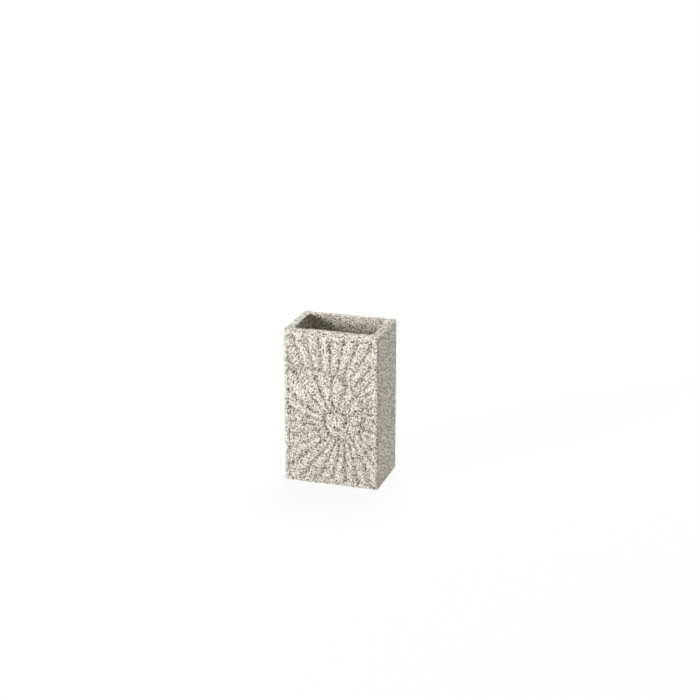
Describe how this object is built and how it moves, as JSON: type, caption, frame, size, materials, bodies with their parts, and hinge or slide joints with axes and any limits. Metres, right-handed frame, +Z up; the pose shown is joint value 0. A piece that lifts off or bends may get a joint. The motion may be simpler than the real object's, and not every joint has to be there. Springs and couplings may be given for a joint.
{
  "type": "toothbrush holder",
  "caption": "Rectangular cast stone-effect tumbler that stands on a vanity and holds toothbrushes in an open well, with a coiled fossil shell in relief on its front.",
  "frame": {"origin": "middle of the footprint, on the plane that the pads stand on", "axes": "+Z up towards the open rim, -Y out of the front face with the shell relief, +X to the right as seen from the front"},
  "size_m": [0.0676, 0.0454, 0.11],
  "materials": {
    "stone": "cast polyresin with a sand grain of cream, grey, tan and dark specks, matt",
    "pad": "closed-cell foam rubber, matt"
  },
  "bodies": {
    "root": {"body": "stone", "pad_front_left": "pad", "pad_front_right": "pad", "pad_back_left": "pad", "pad_back_right": "pad"}
  },
  "joints": []
}
